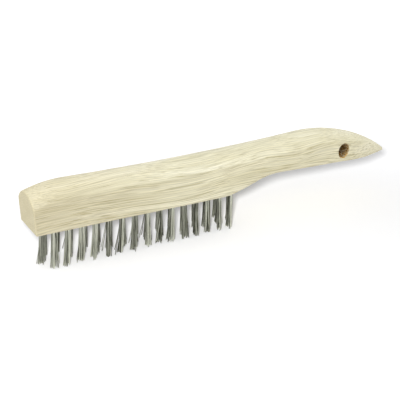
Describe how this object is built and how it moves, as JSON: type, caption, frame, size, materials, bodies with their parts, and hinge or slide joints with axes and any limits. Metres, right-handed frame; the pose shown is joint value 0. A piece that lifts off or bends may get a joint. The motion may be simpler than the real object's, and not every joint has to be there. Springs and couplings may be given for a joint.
{
  "type": "wire scratch brush",
  "caption": "Hand wire brush with a curved wooden shoe handle, a block drilled for rows of stainless wire tufts, and a hang hole near the tip.",
  "frame": {"origin": "under the middle of the brush's length and width, on the surface that the bristle tips stand on", "axes": "+X from the toe to the handle's tip, Y across the rows, +Z from the bristle tips to the back"},
  "size_m": [0.254, 0.0254, 0.0524],
  "materials": {
    "wood": "bare sanded hardwood",
    "stainless_wire": "drawn, dull",
    "anchor_steel": "rolled flat wire"
  },
  "bodies": {
    "root": {"handle_block": "wood", "wire_tufts_01": "stainless_wire", "wire_tufts_02": "stainless_wire", "wire_tufts_03": "stainless_wire", "wire_tufts_04": "stainless_wire", "wire_tufts_05": "stainless_wire", "wire_tufts_06": "stainless_wire", "wire_tufts_07": "stainless_wire", "wire_tufts_08": "stainless_wire", "wire_tufts_09": "stainless_wire", "wire_tufts_10": "stainless_wire", "wire_tufts_11": "stainless_wire", "wire_tufts_12": "stainless_wire", "wire_tufts_13": "stainless_wire", "wire_tufts_14": "stainless_wire", "wire_tufts_15": "stainless_wire", "wire_tufts_16": "stainless_wire", "tuft_anchors_01": "anchor_steel", "tuft_anchors_02": "anchor_steel", "tuft_anchors_03": "anchor_steel", "tuft_anchors_04": "anchor_steel", "tuft_anchors_05": "anchor_steel", "tuft_anchors_06": "anchor_steel", "tuft_anchors_07": "anchor_steel", "tuft_anchors_08": "anchor_steel", "tuft_anchors_09": "anchor_steel", "tuft_anchors_10": "anchor_steel", "tuft_anchors_11": "anchor_steel", "tuft_anchors_12": "anchor_steel", "tuft_anchors_13": "anchor_steel", "tuft_anchors_14": "anchor_steel", "tuft_anchors_15": "anchor_steel", "tuft_anchors_16": "anchor_steel"}
  },
  "joints": []
}
